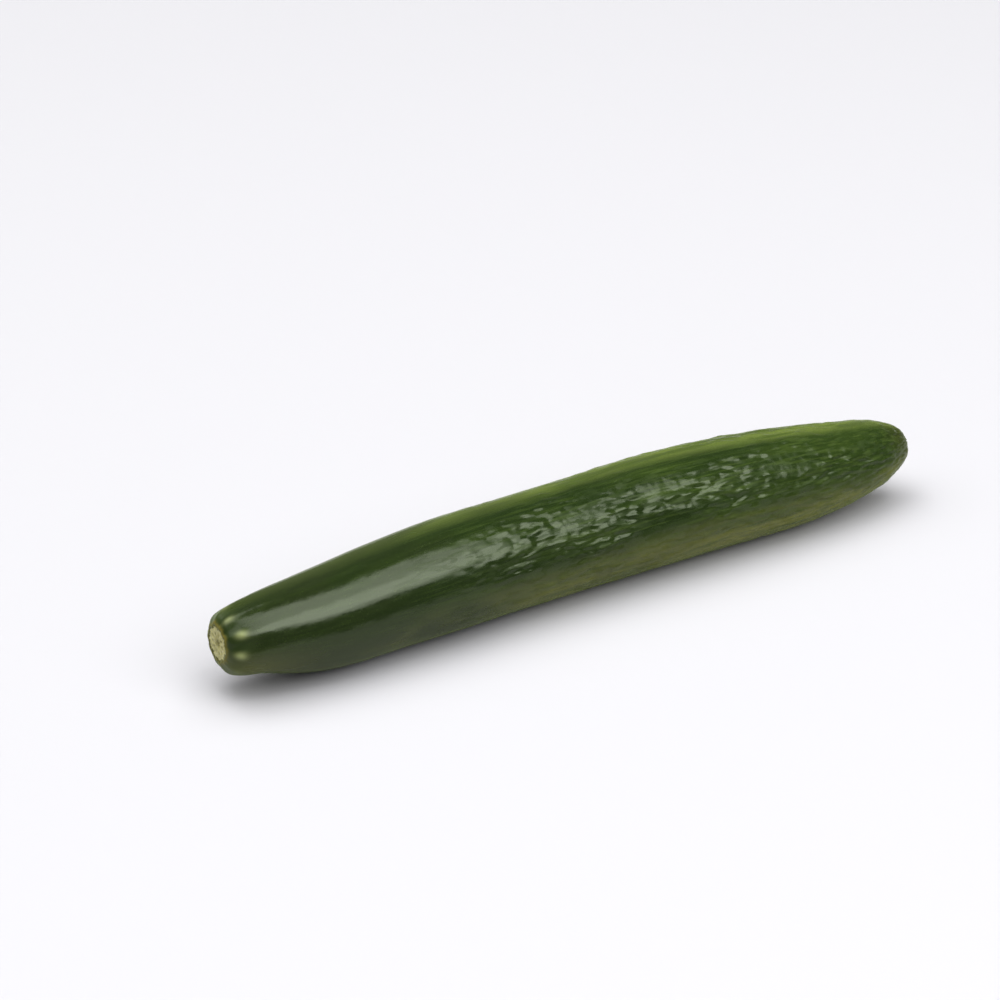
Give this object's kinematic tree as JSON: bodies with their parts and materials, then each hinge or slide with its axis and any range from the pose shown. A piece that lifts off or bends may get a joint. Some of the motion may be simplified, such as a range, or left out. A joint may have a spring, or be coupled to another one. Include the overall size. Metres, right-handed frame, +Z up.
{
  "type": "cucumber",
  "caption": "Long greenhouse cucumber lying on its side: gently bowed fruit, tapered neck with a flat stem scar, shallow ribs and a rounded blossom end.",
  "frame": {"origin": "on the surface that the fruit rests on, under the middle of its box", "axes": "+X along the fruit towards the blossom end, +Y towards the outside of its bow, +Z up"},
  "size_m": [0.321, 0.0464, 0.0454],
  "materials": {
    "cucumber_skin": "waxy dark green skin, satin to gloss, with faint lighter streaks along the fruit"
  },
  "bodies": {
    "root": {"cucumber": "cucumber_skin"}
  },
  "joints": []
}
